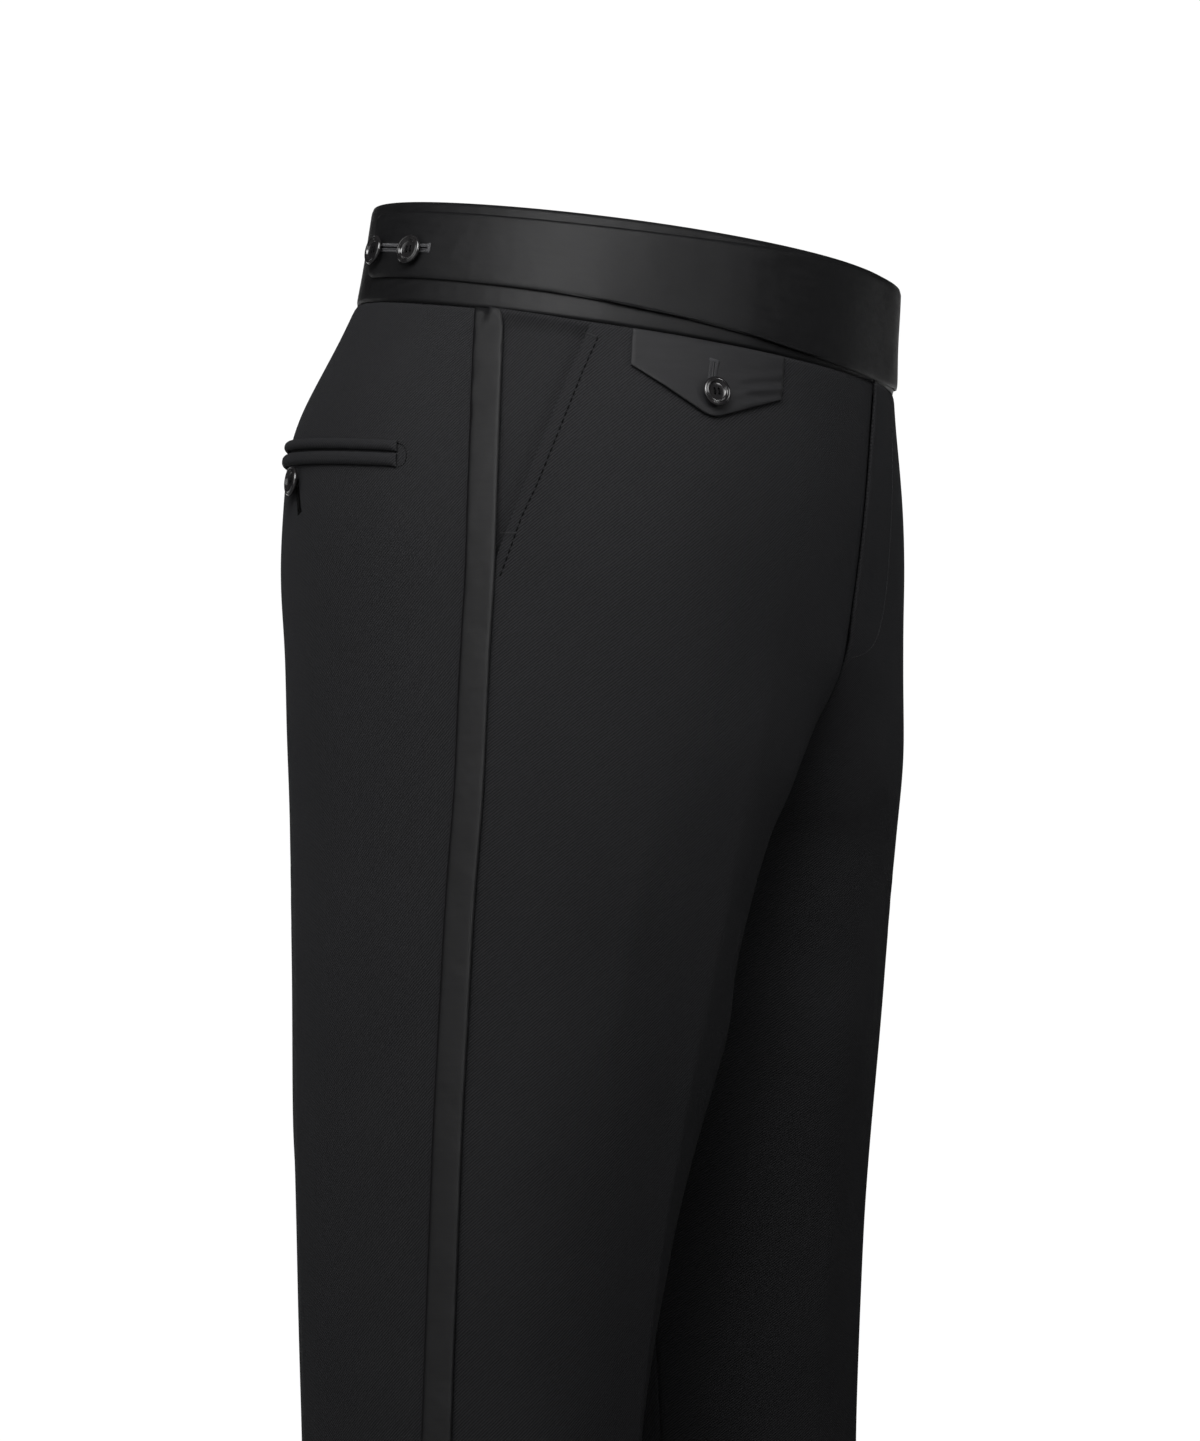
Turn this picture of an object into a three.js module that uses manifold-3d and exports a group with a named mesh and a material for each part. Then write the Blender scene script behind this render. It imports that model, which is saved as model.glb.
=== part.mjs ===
// Tuxedo trousers, filled out as worn, with no wearer inside.
// Black wool twill legs, a satin waistband with a buttoned satin wrap over it, satin side stripes,
// slanted side pockets, a small flapped pocket on the right front and jetted hip pockets.
// Millimetres. +Z is up, -Y is the front and +X is the wearer's left. The origin is the middle of
// the waist opening, on the plane of the waistband's top edge.
import * as THREE from "three";
import { mergeVertices } from "three/addons/utils/BufferGeometryUtils.js";
import Module from "manifold-3d";

const wasm = await Module();
wasm.setup();

// Driving dimensions
const CLOTH_WALL = 1.2;
const SATIN_WALL = 1.4;
const GAP = 0.3;
const BAND_HEIGHT = 50;
const FLY_END_Z = -204;
const CROTCH_Z = -280;
const CROTCH_Y = 34;
const HEM_Z = -1070;

// Half sections of the body and the legs, from the waist opening to the hem. x is measured out
// from the centre plane. tilt is how much a section rises for each millimetre towards the back.
// out and sideY place the side seam, frontX and frontY the most forward point, backX and backY
// the rearmost one. The rounds are Bezier handle shares, 0.55 for an ellipse and more for a box.
const SECTIONS = [
  { z: 0, tilt: 0.13, out: 149, sideY: 18, frontX: 8, frontY: -118, backX: 20, backY: 118.5, frontRound: 0.56, backRound: 0.68 },
  { z: -50, tilt: 0.15, out: 158, sideY: 21, frontX: 8, frontY: -114.5, backX: 22, backY: 124.5, frontRound: 0.56, backRound: 0.68 },
  { z: -80, tilt: 0.12, out: 167, sideY: 19, frontX: 18, frontY: -112.5, backX: 35, backY: 140.5, frontRound: 0.56, backRound: 0.66 },
  { z: -115, tilt: 0.09, out: 174, sideY: 17.5, frontX: 32, frontY: -109.5, backX: 50, backY: 156, frontRound: 0.56, backRound: 0.64 },
  { z: -163, tilt: 0.05, out: 179, sideY: 17, frontX: 42, frontY: -103, backX: 60, backY: 157.5, frontRound: 0.56, backRound: 0.62 },
  { z: -204, tilt: 0.02, out: 180, sideY: 19, frontX: 42, frontY: -98.5, backX: 66, backY: 153.5, frontRound: 0.56, backRound: 0.6 },
  { z: -240, tilt: 0, out: 179.5, sideY: 21, frontX: 44, frontY: -95, backX: 70, backY: 151.5, frontRound: 0.56, backRound: 0.59 },
  { z: -262, tilt: 0, out: 179, sideY: 22, frontX: 44, frontY: -91, backX: 72, backY: 150, frontRound: 0.56, backRound: 0.58 },
  { z: -318, tilt: 0, out: 178, sideY: 27, frontX: 50, frontY: -77.5, backX: 82, backY: 145, frontRound: 0.56, backRound: 0.57 },
  { z: -369, tilt: 0, out: 178, sideY: 30, frontX: 60, frontY: -66, backX: 90, backY: 141.5, frontRound: 0.56, backRound: 0.56 },
  { z: -420, tilt: 0, out: 178, sideY: 33, frontX: 75, frontY: -54, backX: 97, backY: 138.5, frontRound: 0.56, backRound: 0.56 },
  { z: -470, tilt: 0, out: 178, sideY: 35, frontX: 90, frontY: -44, backX: 102, backY: 135, frontRound: 0.56, backRound: 0.56 },
  { z: -522, tilt: 0, out: 178, sideY: 37, frontX: 102, frontY: -37, backX: 106, backY: 132, frontRound: 0.56, backRound: 0.56 },
  { z: -566, tilt: 0, out: 178, sideY: 38.5, frontX: 110, frontY: -32, backX: 109, backY: 129, frontRound: 0.56, backRound: 0.56 },
  { z: -700, tilt: 0, out: 178.5, sideY: 43, frontX: 116, frontY: -25, backX: 116, backY: 125, frontRound: 0.56, backRound: 0.56 },
  { z: -850, tilt: 0, out: 180, sideY: 46, frontX: 121, frontY: -20, backX: 121, backY: 121, frontRound: 0.56, backRound: 0.56 },
  { z: -1070, tilt: 0, out: 183, sideY: 48, frontX: 128, frontY: -17, backX: 128, backY: 120, frontRound: 0.56, backRound: 0.56 },
];

// The centre seam in front and behind, down to where the rise curves in under the seat.
// turn is how far the cloth has turned into the centre seam, in degrees.
const CENTRE_FRONT = [
  { z: 0, y: -118, turn: 0 },
  { z: -50, y: -114.5, turn: 0 },
  { z: -80, y: -112, turn: 3 },
  { z: -115, y: -108.5, turn: 6 },
  { z: -163, y: -101, turn: 14 },
  { z: FLY_END_Z, y: -93, turn: 25 },
];
const CENTRE_BACK = [
  { z: 0, y: 118.5, turn: 0 },
  { z: -50, y: 124, turn: 2 },
  { z: -80, y: 138.5, turn: 8 },
  { z: -115, y: 151.5, turn: 14 },
  { z: -163, y: 150, turn: 23 },
  { z: FLY_END_Z, y: 136, turn: 34 },
];

// Below the fly the two legs are whole tubes that run into each other. This is where each tube
// would close, past the centre plane; the panels are cut at the plane, and that makes the rise.
const MERGING = [
  { z: FLY_END_Z, x: -66, y: 12 },
  { z: -222, x: -49, y: 19 },
  { z: -240, x: -30, y: 25 },
  { z: -254, x: -16, y: 29.5 },
  { z: -264, x: -8, y: 32 },
  { z: -274, x: -2.5, y: 33.5 },
  { z: CROTCH_Z, x: 0, y: CROTCH_Y },
];

// The inseam, from the crotch point to the hem.
const INSEAM = [
  { z: CROTCH_Z, x: 0, y: CROTCH_Y },
  { z: -292, x: 4, y: 34.5 },
  { z: -318, x: 12, y: 36 },
  { z: -369, x: 22, y: 38 },
  { z: -420, x: 31, y: 40 },
  { z: -470, x: 40, y: 42 },
  { z: -566, x: 52, y: 45 },
  { z: -700, x: 60, y: 48 },
  { z: -850, x: 66, y: 50 },
  { z: HEM_Z, x: 74, y: 52 },
];

// Pressed creases: where they run, and how far each stands out of the leg.
const CREASES = [
  { z: 0, frontX: 84, frontRidge: 0, backX: 80, backRidge: 0 },
  { z: -163, frontX: 88, frontRidge: 0, backX: 84, backRidge: 0 },
  { z: -204, frontX: 89, frontRidge: 0.8, backX: 86, backRidge: 0 },
  { z: -262, frontX: 91, frontRidge: 1.6, backX: 90, backRidge: 0 },
  { z: -318, frontX: 95, frontRidge: 2.4, backX: 94, backRidge: 0.8 },
  { z: -420, frontX: 103, frontRidge: 3.2, backX: 102, backRidge: 2 },
  { z: -566, frontX: 114, frontRidge: 4, backX: 112, backRidge: 3.2 },
  { z: -850, frontX: 122, frontRidge: 4.5, backX: 121, backRidge: 4 },
  { z: HEM_Z, frontX: 129, frontRidge: 4.5, backX: 128, backRidge: 4.5 },
];
const CREASE_SPREAD = 9;

// The stance: how far the left leg stands forward of the right one.
const STRIDE = [
  { z: 0, forward: 0 },
  { z: -50, forward: 0.5 },
  { z: -115, forward: 3 },
  { z: -163, forward: 7 },
  { z: -204, forward: 10.5 },
  { z: -262, forward: 15.5 },
  { z: -318, forward: 20.5 },
  { z: -420, forward: 28 },
  { z: -566, forward: 34 },
  { z: -850, forward: 41 },
  { z: HEM_Z, forward: 45 },
];
const STRIDE_BLEND = 70;

// Rows of the panels' grids. Above the fly's end and below mid thigh they are level. Between,
// they fan out: inner is a row's height at the centre seam or inseam, outer the one at the crease.
const LEVEL_ROWS = [-66, -83, -100, -116, -132, -148, -163, -177, -191, FLY_END_Z];
const FAN_ROWS = [
  { inner: -224.9, outer: -221 },
  { inner: -244.3, outer: -238 },
  { inner: -258.7, outer: -254 },
  { inner: -269.8, outer: -270 },
  { inner: -277.1, outer: -285 },
  { inner: CROTCH_Z, outer: -299 },
  { inner: -287, outer: -313 },
  { inner: -296, outer: -327 },
  { inner: -309, outer: -343 },
  { inner: -328, outer: -361 },
  { inner: -352, outer: -383 },
  { inner: -384, outer: -409 },
  { inner: -420, outer: -438 },
  { inner: -458, outer: -470 },
  { inner: -496, outer: -503 },
  { inner: -532, outer: -536 },
];
const LEG_ROWS = [-570, -606, -652, -704, -760, -820, -880, -940, -996, -1040, HEM_Z];
const FRONT_INNER_SHARES = [0, 0.17, 0.36, 0.55, 0.73, 0.88, 1];
const FRONT_OUTER_SHARES = [0.1, 0.24, 0.4, 0.58, 0.78, 1];
const BACK_INNER_SHARES = [0, 0.15, 0.32, 0.5, 0.68, 0.85, 1];
const BACK_OUTER_SHARES = [0.12, 0.27, 0.43, 0.6, 0.8, 1];

const POCKET_TOP_REACH = 47;
const POCKET_END_Z = -184;
const POCKET_UNDERLAP = 14;
const HIP_PIECE_SUNK = 2.8;
const FLY_WIDTH = 36;
const FLY_LIFT = 2.4;
const FLY_LAP = 2.5;
const STRIPE_WIDTH = 14.6;
const STRIPE_WALL = 1;

// Smooth curve through a table's rows for one named column, with no overshoot between rows.
function along(table, column, z) {
  const last = table.length - 1;
  if (z >= table[0].z) return table[0][column];
  if (z <= table[last].z) return table[last][column];
  const k = table.findIndex((row, i) => i < last && z <= row.z && z > table[i + 1].z);
  const slope = (i) => (table[i + 1][column] - table[i][column]) / (table[i + 1].z - table[i].z);
  const tangent = (i) => {
    if (i === 0) return slope(0);
    if (i === last) return slope(last - 1);
    const [before, after] = [slope(i - 1), slope(i)];
    return before * after <= 0 ? 0 : (2 * before * after) / (before + after);
  };
  const step = table[k + 1].z - table[k].z;
  const t = (z - table[k].z) / step;
  const [a, b] = [table[k][column], table[k + 1][column]];
  return (
    a * (1 + 2 * t) * (1 - t) ** 2 + b * t * t * (3 - 2 * t) +
    step * (tangent(k) * t * (1 - t) ** 2 - tangent(k + 1) * t * t * (1 - t))
  );
}

// Where a section's inner edge lies at a height, and how far the cloth has turned in there.
function innerEdge(table, z) {
  if (z >= FLY_END_Z) return { x: 0, y: along(table, "y", z), turn: along(table, "turn", z) };
  const line = z > CROTCH_Z ? MERGING : INSEAM;
  return { x: along(line, "x", z), y: along(line, "y", z), turn: 90 };
}

// Cuts a line of plan points off at the centre plane.
function cutAtCentre(points) {
  const past = points.findIndex((p) => p.x < 0);
  if (past < 0) return points;
  const [a, b] = [points[past - 1], points[past]];
  const kept = points.slice(0, a.x < 0.4 ? past - 1 : past);
  return [...kept, a.clone().lerp(b, a.x / (a.x - b.x))];
}

// The outline of one panel's section, as plan points from the side seam to the inner edge.
const outlines = new Map();
function outline(panel, z) {
  const key = panel + z;
  if (outlines.has(key)) return outlines.get(key);
  const front = panel === "front";
  const value = (column) => along(SECTIONS, column, z);
  const side = new THREE.Vector2(value("out"), value("sideY"));
  const far = new THREE.Vector2(value(front ? "frontX" : "backX"), value(front ? "frontY" : "backY"));
  const edge = innerEdge(front ? CENTRE_FRONT : CENTRE_BACK, z);
  const inner = new THREE.Vector2(edge.x, edge.y);
  const round = value(front ? "frontRound" : "backRound");
  const turn = THREE.MathUtils.degToRad(edge.turn);
  const reach = 0.56 * ((far.x - inner.x) * Math.cos(turn) + Math.abs(far.y - inner.y) * Math.sin(turn));
  const toward = front ? -1 : 1;
  const outer = new THREE.CubicBezierCurve(
    side,
    new THREE.Vector2(side.x, side.y + round * (far.y - side.y)),
    new THREE.Vector2(far.x + round * (side.x - far.x), far.y),
    far,
  );
  const inside = new THREE.CubicBezierCurve(
    far,
    new THREE.Vector2(far.x - 0.56 * (far.x - inner.x), far.y),
    new THREE.Vector2(inner.x + reach * Math.cos(turn), inner.y + toward * reach * Math.sin(turn)),
    inner,
  );
  const points = cutAtCentre([...outer.getPoints(40), ...inside.getPoints(48).slice(1)]);
  const lengths = [0];
  points.slice(1).forEach((p, i) => lengths.push(lengths[i] + p.distanceTo(points[i])));
  const made = { points, lengths, total: lengths[lengths.length - 1] };
  outlines.set(key, made);
  return made;
}

// The plan point and outward normal at a distance from the side seam along a panel's outline.
function planPoint(panel, z, distance) {
  const { points, lengths } = outline(panel, z);
  const last = points.length - 2;
  const found = lengths.findIndex((l) => l > distance) - 1;
  const k = found < 0 ? (distance <= 0 ? 0 : last) : found;
  const share = (distance - lengths[k]) / (lengths[k + 1] - lengths[k]);
  const place = points[k].clone().lerp(points[k + 1], share);
  const way = points[k + 1].clone().sub(points[k]).normalize();
  const normal = panel === "front" ? new THREE.Vector2(-way.y, way.x) : new THREE.Vector2(way.y, -way.x);
  return { place, normal };
}

// How far from the side seam the pressed crease runs.
function creaseDistance(panel, z) {
  const { points, lengths } = outline(panel, z);
  const x = along(CREASES, panel === "front" ? "frontX" : "backX", z);
  const k = points.findIndex((p) => p.x <= x);
  const share = (points[k - 1].x - x) / (points[k - 1].x - points[k].x);
  return lengths[k - 1] + share * (lengths[k] - lengths[k - 1]);
}

// A point on the outside of the cloth, on the wearer's left, at a distance from the side seam.
// Distances run forward on the front panel and back on the back panel.
function skin(panel, z, distance) {
  const { place, normal } = planPoint(panel, z, distance);
  const ridge = along(CREASES, panel + "Ridge", z);
  const off = Math.abs(distance - creaseDistance(panel, z));
  place.addScaledVector(normal, ridge * Math.exp(-off / CREASE_SPREAD));
  return new THREE.Vector3(place.x, place.y, z + along(SECTIONS, "tilt", z) * place.y);
}

// The same for a place given as a signed distance round the leg: forward of the side seam is
// positive and behind it is negative.
function around(z, distance) {
  return distance >= 0 ? skin("front", z, distance) : skin("back", z, -distance);
}

// The direction of a line of points at one of them, from the parabola through the nearest three.
function heading(line, k) {
  const m = Math.min(Math.max(k, 1), line.length - 2);
  const before = line[m].clone().sub(line[m - 1]);
  const after = line[m + 1].clone().sub(line[m]);
  const [l1, l2] = [before.length(), after.length()];
  before.divideScalar(l1);
  after.divideScalar(l2);
  const share = k < m ? -l1 / (l1 + l2) : k > m ? 1 + l2 / (l1 + l2) : l1 / (l1 + l2);
  return before.lerp(after, share);
}

// A closed wall between two layers of a grid of points, each a distance out of the grid.
// Rows run down and columns run from the centre front outwards, so that the normals face out.
function wall(grid, low, high) {
  const rows = grid.length;
  const columns = grid[0].length;
  const columnLines = grid[0].map((_, j) => grid.map((row) => row[j]));
  const normals = grid.map((row, i) =>
    row.map((_, j) => heading(columnLines[j], i).cross(heading(row, j)).normalize()),
  );
  const depth = (value, i, j) => (typeof value === "function" ? value(i, j) : value);
  const positions = [];
  for (const layer of [high, low]) {
    grid.forEach((row, i) =>
      row.forEach((point, j) => {
        positions.push(...point.clone().addScaledVector(normals[i][j], depth(layer, i, j)).toArray());
      }),
    );
  }
  const outer = (i, j) => i * columns + j;
  const inner = (i, j) => rows * columns + i * columns + j;
  const index = [];
  const quad = (a, b, c, d) => index.push(a, b, c, a, c, d);
  for (let i = 0; i < rows - 1; i++) {
    for (let j = 0; j < columns - 1; j++) {
      quad(outer(i, j), outer(i + 1, j), outer(i + 1, j + 1), outer(i, j + 1));
      quad(inner(i, j), inner(i, j + 1), inner(i + 1, j + 1), inner(i + 1, j));
    }
    quad(outer(i, 0), inner(i, 0), inner(i + 1, 0), outer(i + 1, 0));
    quad(outer(i, columns - 1), outer(i + 1, columns - 1), inner(i + 1, columns - 1), inner(i, columns - 1));
  }
  for (let j = 0; j < columns - 1; j++) {
    quad(outer(0, j), outer(0, j + 1), inner(0, j + 1), inner(0, j));
    quad(outer(rows - 1, j), inner(rows - 1, j), inner(rows - 1, j + 1), outer(rows - 1, j + 1));
  }
  const geometry = new THREE.BufferGeometry();
  geometry.setAttribute("position", new THREE.Float32BufferAttribute(positions, 3));
  geometry.setIndex(index);
  return geometry;
}

// Turns a piece made on the wearer's left into the matching one on the right.
function mirrored(geometry) {
  const turned = geometry.clone().scale(-1, 1, 1);
  const index = turned.index.array;
  for (let i = 0; i < index.length; i += 3) [index[i + 1], index[i + 2]] = [index[i + 2], index[i + 1]];
  return turned;
}

// Moves a finished piece with the stance.
function inStance(geometry) {
  const position = geometry.getAttribute("position");
  for (let i = 0; i < position.count; i++) {
    const share = THREE.MathUtils.smoothstep(position.getX(i), -STRIDE_BLEND, STRIDE_BLEND);
    position.setY(i, position.getY(i) - share * along(STRIDE, "forward", position.getZ(i)));
  }
  return geometry;
}

const trousers = new THREE.Group();
const wool = new THREE.MeshStandardMaterial({ color: 0x17171a, roughness: 0.9, metalness: 0 });
const satin = new THREE.MeshStandardMaterial({ color: 0x1e1e21, roughness: 0.5, metalness: 0 });
const horn = new THREE.MeshStandardMaterial({ color: 0x0b0b0c, roughness: 0.2, metalness: 0 });

function add(name, geometry, material) {
  const mesh = new THREE.Mesh(inStance(geometry), material);
  mesh.name = name;
  trousers.add(mesh);
}

function addPair(name, geometry, material) {
  add(name + "_left", geometry.clone(), material);
  add(name + "_right", mirrored(geometry), material);
}

// Rows of the panels, from the waist seam to the hem.
const seamRow = -BAND_HEIGHT - GAP / 2;
const level = (z) => ({ inner: z, outer: z });
const panelRows = [...[seamRow, ...LEVEL_ROWS].map(level), ...FAN_ROWS, ...LEG_ROWS.map(level)];

// How far forward of the side seam the front panel's pocket edge runs.
function pocketReach(z) {
  return Math.max(0, (POCKET_TOP_REACH * (z - POCKET_END_Z)) / (-BAND_HEIGHT - POCKET_END_Z));
}

// The places of one row's columns: from the inner edge to the crease, then out to the side.
function columnPlaces(panel, row, sideReach) {
  const front = panel === "front";
  const toCrease = (front ? FRONT_INNER_SHARES : BACK_INNER_SHARES).map((share) => {
    const z = row.inner + (row.outer - row.inner) * share;
    const inner = outline(panel, z).total - GAP / 2;
    return { z, distance: inner + (creaseDistance(panel, z) - inner) * share };
  });
  const crease = creaseDistance(panel, row.outer);
  const toSide = (front ? FRONT_OUTER_SHARES : BACK_OUTER_SHARES).map((share) => {
    return { z: row.outer, distance: crease + (sideReach - crease) * share };
  });
  return [...toCrease, ...toSide];
}

// Front panels. The left one laps over the right at the fly, lifted along its folded edge.
function frontPanel(withFly) {
  const grid = panelRows.map((row) =>
    columnPlaces("front", row, pocketReach(row.outer) + GAP / 2).map(({ z, distance }) => {
      const point = skin("front", z, distance);
      if (!withFly || z < FLY_END_Z) return point;
      const fromEdge = outline("front", z).total - distance;
      const share = 1 - THREE.MathUtils.smoothstep(fromEdge, 0, FLY_WIDTH);
      const lift = FLY_LIFT * share * THREE.MathUtils.smoothstep(z, FLY_END_Z, FLY_END_Z + 12);
      const lap = FLY_LAP * share * THREE.MathUtils.smoothstep(z, FLY_END_Z + 12, FLY_END_Z + 27);
      return point.add(new THREE.Vector3(-lap, -lift, 0));
    }),
  );
  return wall(grid, -CLOTH_WALL, 0);
}
add("front_left", frontPanel(true), wool);
add("front_right", mirrored(frontPanel(false)), wool);

// Back panels, from the side seam to the seat seam.
const backGrid = panelRows.map((row) =>
  columnPlaces("back", row, GAP / 2).reverse().map(({ z, distance }) => skin("back", z, distance)),
);
addPair("back", wall(backGrid, -CLOTH_WALL, 0), wool);

// Hip pieces: the cloth seen inside each slanted pocket mouth, let in under the front panel.
const hipPieceRows = panelRows.map((row) => row.outer).filter((z) => z > POCKET_END_Z + 4);
const hipPieceShares = [1, 0.75, 0.5, 0.25, 0];
function hipPiece() {
  const grid = hipPieceRows.map((z) => [
    skin("front", z, pocketReach(z) + POCKET_UNDERLAP),
    ...hipPieceShares.map((share) => skin("front", z, pocketReach(z) * share + GAP / 2)),
  ]);
  const top = (i, j) => -HIP_PIECE_SUNK * (j === 0 ? 1 : hipPieceShares[j - 1]);
  return wall(grid, (i, j) => top(i, j) - CLOTH_WALL, top);
}
addPair("hip_piece", hipPiece(), wool);

// Satin stripes laid over the side seams, from the waist seam to the hem.
const stripeGrid = panelRows.map(({ outer: z }) =>
  [0.5, 0.17, -0.17, -0.5].map((share) => around(z, share * STRIPE_WIDTH)),
);
addPair("side_stripe", wall(stripeGrid, GAP, GAP + STRIPE_WALL), satin);

// Waistband halves, from the centre front to the centre back.
const bandRows = [0, -BAND_HEIGHT / 3, (-2 * BAND_HEIGHT) / 3, -BAND_HEIGHT + GAP / 2];
const bandGrid = bandRows.map((z) => {
  const front = outline("front", z).total - GAP / 2;
  const back = outline("back", z).total - GAP / 2;
  const shares = (count) => Array.from({ length: count }, (_, i) => 1 - i / count);
  return [
    ...shares(12).map((s) => around(z, front * s)),
    ...[...shares(12), 0].reverse().map((s) => around(z, -back * s)),
  ];
});
addPair("waistband", wall(bandGrid, -SATIN_WALL, 0), satin);

// The satin wrap over the waistband: one strip from the right hip, across the front, to the left
// hip, with a rounded, buttoned end on each side. Its edges draw in from the centre front to the
// ends. Distances are measured from the centre front.
const WRAP_EDGES = [
  { z: 0, low: 0.6, high: 0.8 },
  { z: -60, low: 2.2, high: 0.8 },
  { z: -110, low: 5.5, high: 3.2 },
  { z: -160, low: 8.5, high: 5 },
  { z: -220, low: 11, high: 5.4 },
  { z: -400, low: 12, high: 5.2 },
];
const WRAP_END = { fromSide: 80, cornerTop: 7, cornerLow: 4 };
const WRAP_COLUMNS = 27;
const WRAP_RISE = 0.45;
const WRAP_LEVELS = [0, 1 / 3, 2 / 3, 1];

function wrapHalf() {
  const frontLength = outline("front", -BAND_HEIGHT / 2).total;
  const length = frontLength + WRAP_END.fromSide;
  const even = Array.from({ length: WRAP_COLUMNS }, (_, i) => (i * (length - 8)) / (WRAP_COLUMNS - 1));
  const stations = [...even, length - 5, length - 2.2, length - 0.6, length];
  return stations.map((station) => {
    const left = length - station;
    const corner = (radius) => (left >= radius ? 0 : radius - Math.sqrt(radius ** 2 - (radius - left) ** 2));
    const low = along(WRAP_EDGES, "low", -station) + corner(WRAP_END.cornerLow);
    const high = along(WRAP_EDGES, "high", -station) + corner(WRAP_END.cornerTop);
    return WRAP_LEVELS.map((level) => {
      const z = -high + (high + low - BAND_HEIGHT) * level;
      const front = outline("front", z).total;
      const share = station / frontLength;
      return share <= 1 ? around(z, front * (1 - share)) : around(z, -(station - frontLength));
    });
  });
}
const wrapLeft = wrapHalf();
const wrapRight = wrapHalf().map((column) => column.map((p) => new THREE.Vector3(-p.x, p.y, p.z)));
const wrapColumns = [...wrapRight.slice(1).reverse(), ...wrapLeft];
const wrapGrid = WRAP_LEVELS.map((_, i) => wrapColumns.map((column) => column[i]));
add("waist_wrap", wall(wrapGrid, WRAP_RISE, WRAP_RISE + SATIN_WALL), satin);

// Hip pockets: two jetted welts on each back panel, one over the other.
const HIP_POCKET = { start: 45, length: 150, z: -118, slope: 0.02, upper: 5, lower: 6, mouth: 0.8 };
function welt(top, bottom, swell) {
  const levels = [0, 0.3, 0.7, 1].map((s) => top + (bottom - top) * s);
  const columns = [0, 0.02, 0.1, 0.18, 0.26, 0.34, 0.42, 0.5, 0.58, 0.66, 0.74, 0.82, 0.9, 0.98, 1];
  const last = columns.length - 1;
  const grid = levels.map((z) =>
    columns.map((s) => {
      const run = HIP_POCKET.length * s;
      return around(z + HIP_POCKET.slope * run, -(HIP_POCKET.start + run));
    }),
  );
  const crown = (i, j) => GAP + swell * (i === 0 || i === 3 || j === 0 || j === last ? 0.45 : 1);
  return wall(grid, GAP, crown);
}
const mouthTop = HIP_POCKET.z + HIP_POCKET.mouth / 2;
const mouthBottom = HIP_POCKET.z - HIP_POCKET.mouth / 2;
addPair("hip_pocket_welt_upper", welt(mouthTop + HIP_POCKET.upper, mouthTop, 1.2), wool);
addPair("hip_pocket_welt_lower", welt(mouthBottom, mouthBottom - HIP_POCKET.lower, 1.5), wool);

// The pointed satin flap of the small pocket, let into the waist seam on the right front.
const FLAP_RISE = 0.5;
const FLAP = { start: 66, width: 80, backSide: 18, frontSide: 23, point: 39 };
function coinFlap() {
  const columns = [0, 0.1, 0.2, 0.3, 0.4, 0.5, 0.6, 0.7, 0.8, 0.9, 1];
  const levels = [0, 0.35, 0.7, 1];
  const grid = levels.map((level) =>
    columns.map((s) => {
      const side = s < 0.5 ? FLAP.frontSide : FLAP.backSide;
      const drop = side + (FLAP.point - side) * (1 - Math.abs(2 * s - 1));
      return around(seamRow - 0.4 - drop * level, FLAP.start + FLAP.width * (1 - s));
    }),
  );
  return wall(grid, FLAP_RISE, FLAP_RISE + SATIN_WALL);
}
add("coin_pocket_flap", mirrored(coinFlap()), satin);

// Four-hole buttons with a raised rim, each on a short thread shank.
const BUTTON = { radius: 7, thickness: 2.6, rim: 1.5, dish: 0.9, shank: 1.6, shankRadius: 1.7, hole: 0.65, holeOffset: 1.25 };
const BUTTON_SEGMENTS = 16;

function solidOf(geometry) {
  const bare = new THREE.BufferGeometry();
  bare.setAttribute("position", geometry.getAttribute("position"));
  bare.setIndex(geometry.index);
  const merged = mergeVertices(bare, 1e-4);
  return new wasm.Manifold(
    new wasm.Mesh({
      numProp: 3,
      vertProperties: new Float32Array(merged.getAttribute("position").array),
      triVerts: new Uint32Array(merged.index.array),
    }),
  );
}

function buttonShape() {
  const { radius, thickness, rim, dish, shank, shankRadius } = BUTTON;
  const base = shank;
  const profile = [
    [0, 0],
    [shankRadius, 0],
    [shankRadius, base],
    [radius - 1.6, base],
    [radius, base + 1.1],
    [radius - 0.5, base + thickness],
    [radius - rim, base + thickness],
    [radius - rim - 1, base + thickness - dish],
    [0, base + thickness - dish],
  ];
  const points = profile.map(([r, h]) => new THREE.Vector2(r, h));
  const disc = new THREE.LatheGeometry(points, BUTTON_SEGMENTS).rotateX(Math.PI / 2);
  let solid = solidOf(disc);
  for (const [sx, sy] of [[1, 1], [1, -1], [-1, 1], [-1, -1]]) {
    const hole = new THREE.CylinderGeometry(BUTTON.hole, BUTTON.hole, 1.4, 8).rotateX(Math.PI / 2);
    hole.translate(sx * BUTTON.holeOffset, sy * BUTTON.holeOffset, base + thickness - dish);
    solid = solid.subtract(solidOf(hole));
  }
  const mesh = solid.getMesh();
  const geometry = new THREE.BufferGeometry();
  geometry.setAttribute("position", new THREE.Float32BufferAttribute(Array.from(mesh.vertProperties), 3));
  geometry.setIndex(Array.from(mesh.triVerts));
  return geometry;
}
const button = buttonShape();

// A button on the cloth at a height and a distance round from the side seam, standing on what
// lies there, which rises the given amount above the panel.
function buttonAt(z, distance, rise) {
  const step = 4;
  const middle = around(z, distance);
  const across = around(z, distance - step).sub(around(z, distance + step));
  const down = around(z - step, distance).sub(around(z + step, distance));
  const normal = down.cross(across).normalize();
  const turn = new THREE.Quaternion().setFromUnitVectors(new THREE.Vector3(0, 0, 1), normal);
  const seat = middle.addScaledVector(normal, rise + GAP);
  return button.clone().applyQuaternion(turn).translate(seat.x, seat.y, seat.z);
}

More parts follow.
